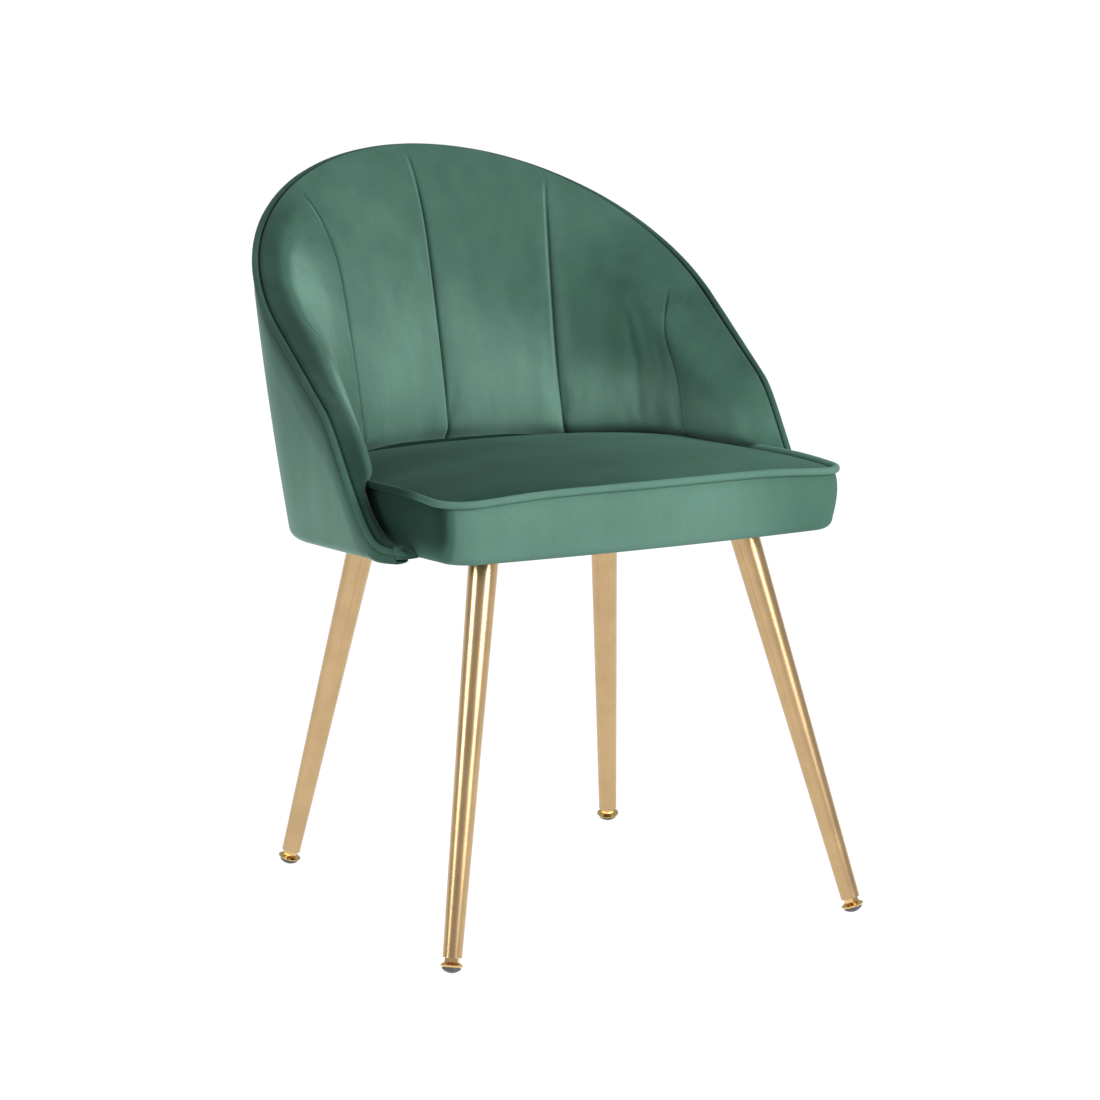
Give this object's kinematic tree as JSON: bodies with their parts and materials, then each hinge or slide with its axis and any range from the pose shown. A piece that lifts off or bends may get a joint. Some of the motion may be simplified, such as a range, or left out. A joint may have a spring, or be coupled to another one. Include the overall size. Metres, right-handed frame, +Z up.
{
  "type": "dining chair",
  "caption": "Barrel-back dining chair with a channelled velvet bucket seat, piped seat cushion and splayed tapered metal legs on screw-in levelling glides.",
  "frame": {"origin": "on the floor, under the middle of the bounding box of the whole chair", "axes": "+Z up, the front of the chair faces -Y, +X to the right of someone facing the front"},
  "size_m": [0.5568, 0.6208, 0.8004],
  "materials": {
    "velvet": "short-pile green velvet",
    "plywood": "raw birch plywood",
    "foam": "open-cell foam",
    "zinc_steel": "zinc plated",
    "satin_gold": "satin gold plated steel",
    "bright_gold": "polished gold plated",
    "black_nonwoven": "black non-woven cloth",
    "grey_nylon": "moulded grey nylon"
  },
  "bodies": {
    "chair": {"seat_board": "plywood", "tee_nuts": "zinc_steel", "seat_foam": "foam", "seat_boxing": "velvet", "seat_top_panel": "velvet", "seat_piping": "velvet", "dust_cover": "black_nonwoven", "dust_cover_staples": "zinc_steel", "base_ring": "plywood", "back_shell": "plywood", "shell_screws": "zinc_steel", "back_foam": "foam", "inner_panel_1": "velvet", "inner_panel_2": "velvet", "inner_panel_3": "velvet", "inner_panel_4": "velvet", "inner_panel_5": "velvet", "inner_panel_6": "velvet", "back_outer_cover": "velvet", "rim_welt": "velvet", "join_plates": "zinc_steel", "join_screws": "zinc_steel", "leg_plates": "satin_gold", "leg_bolts": "zinc_steel", "bolt_washers": "zinc_steel", "leg_front_left": "satin_gold", "leg_front_right": "satin_gold", "leg_rear_left": "satin_gold", "leg_rear_right": "satin_gold", "leg_inserts": "zinc_steel"},
    "pad_front_left": {"glide_pad_front_left": "grey_nylon"},
    "screw_front_left": {"glide_screw_front_left": "bright_gold"},
    "pad_front_right": {"glide_pad_front_right": "grey_nylon"},
    "screw_front_right": {"glide_screw_front_right": "bright_gold"},
    "pad_rear_left": {"glide_pad_rear_left": "grey_nylon"},
    "screw_rear_left": {"glide_screw_rear_left": "bright_gold"},
    "pad_rear_right": {"glide_pad_rear_right": "grey_nylon"},
    "screw_rear_right": {"glide_screw_rear_right": "bright_gold"}
  },
  "joints": [
    {"name": "glide_lift_front_left", "type": "slide", "parent": "chair", "child": "pad_front_left", "axis": [-0.2049, -0.2172, -0.9544], "range_m": [0, 0.008]},
    {"name": "glide_turn_front_left", "type": "hinge", "parent": "pad_front_left", "child": "screw_front_left", "pos_m": [-0.245, -0.2968, 0.0134], "axis": [-0.2049, -0.2172, -0.9544], "range_deg": [0, 2304]},
    {"name": "glide_lift_front_right", "type": "slide", "parent": "chair", "child": "pad_front_right", "axis": [0.2049, -0.2172, -0.9544], "range_m": [0, 0.008]},
    {"name": "glide_turn_front_right", "type": "hinge", "parent": "pad_front_right", "child": "screw_front_right", "pos_m": [0.245, -0.2968, 0.0134], "axis": [0.2049, -0.2172, -0.9544], "range_deg": [0, 2304]},
    {"name": "glide_lift_rear_left", "type": "slide", "parent": "chair", "child": "pad_rear_left", "axis": [-0.1399, 0.2198, -0.9655], "range_m": [0, 0.008]},
    {"name": "glide_turn_rear_left", "type": "hinge", "parent": "pad_rear_left", "child": "screw_rear_left", "pos_m": [-0.207, 0.1792, 0.0134], "axis": [-0.1399, 0.2198, -0.9655], "range_deg": [0, 2304]},
    {"name": "glide_lift_rear_right", "type": "slide", "parent": "chair", "child": "pad_rear_right", "axis": [0.1399, 0.2198, -0.9655], "range_m": [0, 0.008]},
    {"name": "glide_turn_rear_right", "type": "hinge", "parent": "pad_rear_right", "child": "screw_rear_right", "pos_m": [0.207, 0.1792, 0.0134], "axis": [0.1399, 0.2198, -0.9655], "range_deg": [0, 2304]}
  ],
  "couplings": [
    {"joint": "glide_lift_front_left", "follows": "glide_turn_front_left", "m_per_rad": 0.00019894},
    {"joint": "glide_lift_front_right", "follows": "glide_turn_front_right", "m_per_rad": 0.00019894},
    {"joint": "glide_lift_rear_left", "follows": "glide_turn_rear_left", "m_per_rad": 0.00019894},
    {"joint": "glide_lift_rear_right", "follows": "glide_turn_rear_right", "m_per_rad": 0.00019894}
  ]
}
